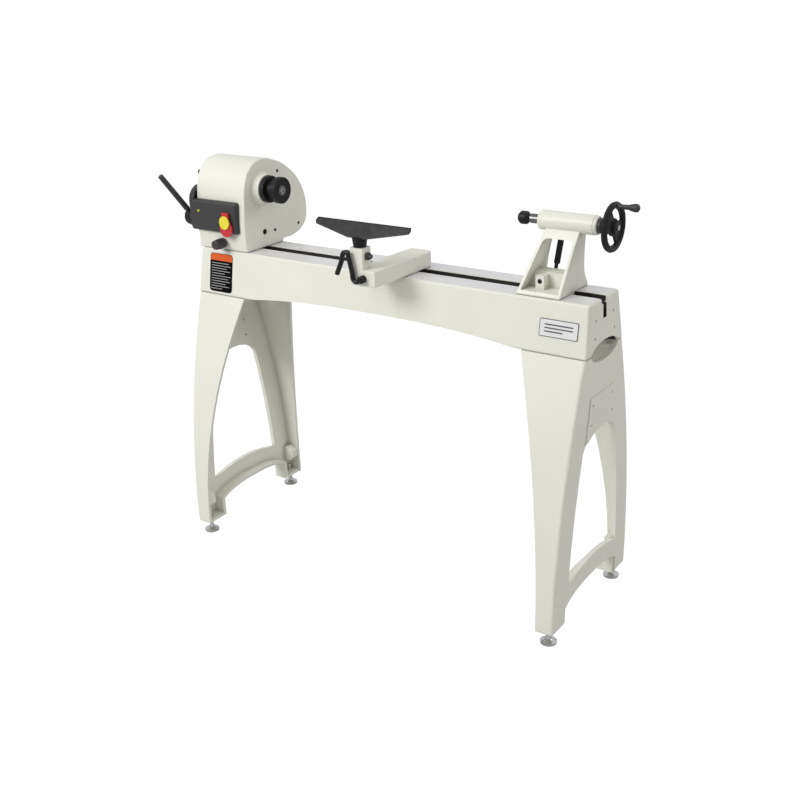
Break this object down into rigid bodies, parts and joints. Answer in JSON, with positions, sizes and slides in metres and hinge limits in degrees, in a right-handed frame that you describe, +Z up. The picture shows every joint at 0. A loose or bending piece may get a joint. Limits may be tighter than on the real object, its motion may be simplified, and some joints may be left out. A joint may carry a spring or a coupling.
{
  "type": "wood lathe",
  "caption": "Floor-standing wood lathe with a cast bed on arched stands, a sliding swivelling headstock, a banjo with a tool rest and a tailstock with a live centre.",
  "frame": {"origin": "centre of the footprint on the floor, under the middle of the machine's bounding box", "axes": "+X from the headstock along the bed towards the tailstock, -Y towards the turner, +Z up"},
  "size_m": [1.447, 0.4688, 1.1868],
  "materials": {
    "cream_paint": "off-white powder coat, satin",
    "black_plastic": "black moulded plastic, satin",
    "black_iron": "black enamel or oxide, satin",
    "polished_steel": "ground bright steel",
    "zinc_steel": "bright zinc plate",
    "grey_iron": "plain machined cast iron",
    "red_plastic": "red moulded plastic",
    "yellow_plastic": "yellow moulded plastic",
    "belt_rubber": "black moulded rubber",
    "motor_paint": "dark grey paint, satin"
  },
  "bodies": {
    "base": {"bed": "cream_paint", "left_stand": "cream_paint", "right_stand": "cream_paint", "stand_bolt_1": "zinc_steel", "stand_bolt_2": "zinc_steel", "stand_bolt_3": "zinc_steel", "stand_bolt_4": "zinc_steel"},
    "headstock_slide": {"headstock_clamp_plate": "grey_iron"},
    "headstock": {"headstock_casting": "cream_paint", "control_housing": "black_plastic", "speed_dial": "grey_iron", "switch_body": "black_plastic", "power_indicator": "yellow_plastic", "face_screw_1": "black_iron", "face_screw_2": "black_iron", "face_screw_3": "black_iron", "headstock_clamp_stud": "zinc_steel", "spindle_bearing_front": "polished_steel", "spindle_bearing_rear": "polished_steel", "drive_belt": "belt_rubber", "motor": "motor_paint"},
    "headstock_clamp": {"headstock_clamp_shaft": "black_iron"},
    "lock_pin": {"headstock_lock_pin": "black_plastic"},
    "spindle_group": {"spindle": "polished_steel", "drive_centre": "polished_steel", "index_ring": "black_iron", "faceplate": "black_iron", "spindle_fixed_sheave": "grey_iron", "spindle_sliding_sheave": "grey_iron"},
    "motor_rotor": {"motor_shaft": "polished_steel", "motor_fixed_sheave": "grey_iron"},
    "moving_sheave": {"motor_sliding_sheave": "grey_iron"},
    "speed_control": {"speed_lever": "black_iron", "speed_lever_grip": "black_plastic"},
    "paddle": {"switch_paddle": "red_plastic"},
    "key": {"safety_key": "yellow_plastic"},
    "banjo_slide": {"banjo_clamp_plate": "grey_iron"},
    "banjo_pivot": {"banjo_clamp_block": "grey_iron"},
    "banjo_arm": {"banjo": "cream_paint", "post_stop_knob": "black_plastic"},
    "banjo_lever": {"banjo_lock_lever": "black_iron"},
    "post_lever": {"post_lock_handle": "black_iron"},
    "rest_post": {"tool_rest_post": "polished_steel"},
    "rest": {"tool_rest": "black_iron"},
    "tailstock": {"tailstock_casting": "cream_paint", "tailstock_clamp_plate": "grey_iron"},
    "tailstock_lever": {"tailstock_clamp_lever": "black_iron"},
    "screw_and_wheel": {"handwheel": "black_iron", "leadscrew": "zinc_steel", "screw_collar": "black_plastic"},
    "wheel_handle": {"handwheel_handle": "black_plastic"},
    "quill_group": {"quill": "polished_steel", "live_centre_shank": "polished_steel"},
    "live_centre": {"live_centre_head": "black_iron"},
    "quill_lock": {"quill_lock_lever": "black_iron"},
    "foot_1": {"levelling_foot_1": "zinc_steel"},
    "foot_2": {"levelling_foot_2": "zinc_steel"},
    "foot_3": {"levelling_foot_3": "zinc_steel"},
    "foot_4": {"levelling_foot_4": "zinc_steel"}
  },
  "joints": [
    {"name": "headstock_travel", "type": "slide", "parent": "base", "child": "headstock_slide", "axis": [1, 0, 0], "range_m": [0, 0.2]},
    {"name": "headstock_swivel", "type": "hinge", "parent": "headstock_slide", "child": "headstock", "pos_m": [-0.56551, 0, 0.92], "axis": [0, 0, 1], "range_deg": [-90, 180]},
    {"name": "headstock_clamp_turn", "type": "hinge", "parent": "headstock", "child": "headstock_clamp", "pos_m": [-0.47351, 0, 0.968], "axis": [1, 0, 0], "range_deg": [0, 90]},
    {"name": "lock_pin_pull", "type": "slide", "parent": "headstock", "child": "lock_pin", "axis": [0, -1, 0], "range_m": [0, 0.012]},
    {"name": "spindle_spin", "type": "hinge", "parent": "headstock", "child": "spindle_group", "pos_m": [-0.47351, 0, 1.1], "axis": [1, 0, 0], "continuous": true},
    {"name": "motor_spin", "type": "hinge", "parent": "headstock", "child": "motor_rotor", "pos_m": [-0.61951, 0.125, 1.015], "axis": [1, 0, 0], "continuous": true},
    {"name": "sheave_opening", "type": "slide", "parent": "motor_rotor", "child": "moving_sheave", "axis": [-1, 0, 0], "range_m": [0, 0.008]},
    {"name": "speed_lever_turn", "type": "hinge", "parent": "headstock", "child": "speed_control", "pos_m": [-0.68491, -0.066, 1.007], "axis": [1, 0, 0], "range_deg": [0, 75]},
    {"name": "switch_lift", "type": "hinge", "parent": "headstock", "child": "paddle", "pos_m": [-0.53251, -0.1005, 1.04], "axis": [1, 0, 0], "range_deg": [-12, 0]},
    {"name": "key_pull", "type": "slide", "parent": "paddle", "child": "key", "axis": [0, -1, 0], "range_m": [0, 0.025]},
    {"name": "banjo_travel", "type": "slide", "parent": "base", "child": "banjo_slide", "axis": [1, 0, 0], "range_m": [-0.15, 0.25]},
    {"name": "banjo_swivel", "type": "hinge", "parent": "banjo_slide", "child": "banjo_pivot", "pos_m": [0.05049, -0.01, 0.92], "axis": [0, 0, 1], "range_deg": [-20, 20]},
    {"name": "banjo_reach", "type": "slide", "parent": "banjo_pivot", "child": "banjo_arm", "axis": [0, 1, 0], "range_m": [-0.012, 0.06]},
    {"name": "banjo_lock_turn", "type": "hinge", "parent": "banjo_arm", "child": "banjo_lever", "pos_m": [0.05049, -0.217, 0.943], "axis": [0, 1, 0], "range_deg": [-90, 45]},
    {"name": "post_lock_turn", "type": "hinge", "parent": "banjo_arm", "child": "post_lever", "pos_m": [0.02849, -0.196, 1], "axis": [1, 0, 0], "range_deg": [-60, 60]},
    {"name": "rest_height", "type": "slide", "parent": "banjo_arm", "child": "rest_post", "axis": [0, 0, 1], "range_m": [0, 0.035]},
    {"name": "rest_swivel", "type": "hinge", "parent": "rest_post", "child": "rest", "pos_m": [0.02849, -0.196, 1.023], "axis": [0, 0, 1], "range_deg": [-90, 90]},
    {"name": "tailstock_travel", "type": "slide", "parent": "base", "child": "tailstock", "axis": [1, 0, 0], "range_m": [-0.33, 0.08]},
    {"name": "tailstock_clamp_turn", "type": "hinge", "parent": "tailstock", "child": "tailstock_lever", "pos_m": [0.48549, 0, 0.953], "axis": [0, 1, 0], "range_deg": [-12, 35]},
    {"name": "handwheel_turn", "type": "hinge", "parent": "tailstock", "child": "screw_and_wheel", "pos_m": [0.65749, 0, 1.1], "axis": [-1, 0, 0], "range_deg": [-1080, 4950]},
    {"name": "quill_travel", "type": "slide", "parent": "tailstock", "child": "quill_group", "axis": [-1, 0, 0], "range_m": [-0.012, 0.055]},
    {"name": "handle_spin", "type": "hinge", "parent": "screw_and_wheel", "child": "wheel_handle", "pos_m": [0.68749, 0, 1.1525], "axis": [1, 0, 0], "continuous": true},
    {"name": "live_centre_spin", "type": "hinge", "parent": "quill_group", "child": "live_centre", "pos_m": [0.41599, 0, 1.1], "axis": [1, 0, 0], "continuous": true},
    {"name": "quill_lock_turn", "type": "hinge", "parent": "tailstock", "child": "quill_lock", "pos_m": [0.49249, 0.025, 1.1], "axis": [0, 1, 0], "range_deg": [-90, 0]},
    {"name": "foot_1_height", "type": "slide", "parent": "base", "child": "foot_1", "axis": [0, 0, 1], "range_m": [-0.015, 0]},
    {"name": "foot_2_height", "type": "slide", "parent": "base", "child": "foot_2", "axis": [0, 0, 1], "range_m": [-0.015, 0]},
    {"name": "foot_3_height", "type": "slide", "parent": "base", "child": "foot_3", "axis": [0, 0, 1], "range_m": [-0.015, 0]},
    {"name": "foot_4_height", "type": "slide", "parent": "base", "child": "foot_4", "axis": [0, 0, 1], "range_m": [-0.015, 0]}
  ],
  "couplings": [
    {"joint": "motor_spin", "follows": "spindle_spin", "ratio": 1.1746},
    {"joint": "sheave_opening", "follows": "speed_lever_turn", "m_per_rad": 0.006105},
    {"joint": "quill_travel", "follows": "handwheel_turn", "m_per_rad": 0.00063656}
  ]
}
